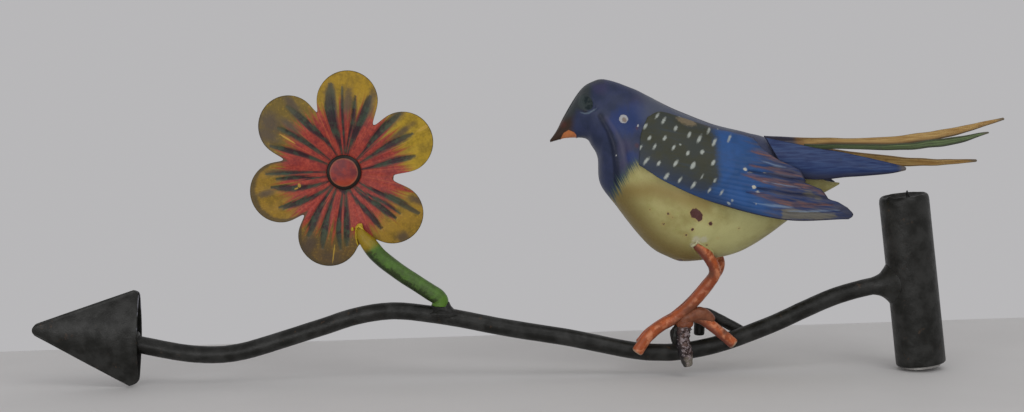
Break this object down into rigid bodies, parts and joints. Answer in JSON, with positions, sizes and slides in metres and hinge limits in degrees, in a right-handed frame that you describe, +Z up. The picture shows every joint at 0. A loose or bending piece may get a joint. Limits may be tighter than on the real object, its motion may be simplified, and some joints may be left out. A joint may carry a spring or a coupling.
{
  "type": "weather vane arm",
  "caption": "Wind-turned arrow arm on a sleeve pivot, carrying a painted sheet-metal flower and a perched long-tailed bird.",
  "frame": {"origin": "centre of the flat foot of the upright spindle, on the turning axis", "axes": "+Z up along the spindle and sleeve, -X towards the arrowhead, -Y towards the painted side that is seen"},
  "size_m": [0.5083, 0.0613, 0.1875],
  "materials": {
    "bare_steel": "worn bare steel, dulled by weather",
    "black_paint": "old black enamel over iron, semi-gloss, scuffed with small chips",
    "petal_paint": "hand-painted enamel, red heart shading to ochre, dark brush strokes, crazed",
    "red_paint": "brick-red enamel with a black painted ring",
    "ochre_paint": "ochre-yellow enamel, glossy where it pooled",
    "stem_green_paint": "leaf-green enamel with dark scuffs, yellow at its thin end",
    "bird_body_paint": "hand-painted enamel, blue head and back over a cream-yellow belly, aged and chipped",
    "wing_paint": "blue enamel with an olive shoulder, white flecks and brown feather strokes",
    "tail_blue_paint": "dark blue enamel, rubbed along its edges",
    "tail_tan_paint": "tan primer over sheet metal, thin and rubbed",
    "tail_green_paint": "thin dull green enamel",
    "leg_orange_paint": "orange enamel on wire, worn dark at the bends",
    "rusty_iron": "bare rusted wire with pitted brown-grey surface"
  },
  "bodies": {
    "spindle": {"pivot_spindle": "bare_steel"},
    "vane": {"pivot_sleeve": "black_paint", "sleeve_cap": "black_paint", "arm_sleeve_weld": "black_paint", "arrow_arm": "black_paint", "arrowhead_front_plate": "black_paint", "arrowhead_back_plate": "black_paint", "flower_petals": "petal_paint", "flower_centre": "red_paint", "flower_stem": "stem_green_paint", "stem_flower_braze": "ochre_paint", "stem_arm_weld": "black_paint", "bird_body_left": "bird_body_paint", "bird_body_right": "bird_body_paint", "wing_left": "wing_paint", "wing_right": "wing_paint", "tail_blade_left": "tail_blue_paint", "tail_blade_right": "tail_tan_paint", "tail_streamer_upper": "tail_tan_paint", "tail_streamer_under": "tail_green_paint", "leg_left": "leg_orange_paint", "leg_right": "leg_orange_paint", "toe_left_hind": "leg_orange_paint", "toe_left_front": "rusty_iron", "toe_right_hind": "black_paint", "toe_right_front": "black_paint"}
  },
  "joints": [
    {"name": "vane_turn", "type": "hinge", "parent": "spindle", "child": "vane", "pos_m": [0, 0, 0], "axis": [0, 0, 1], "continuous": true}
  ]
}
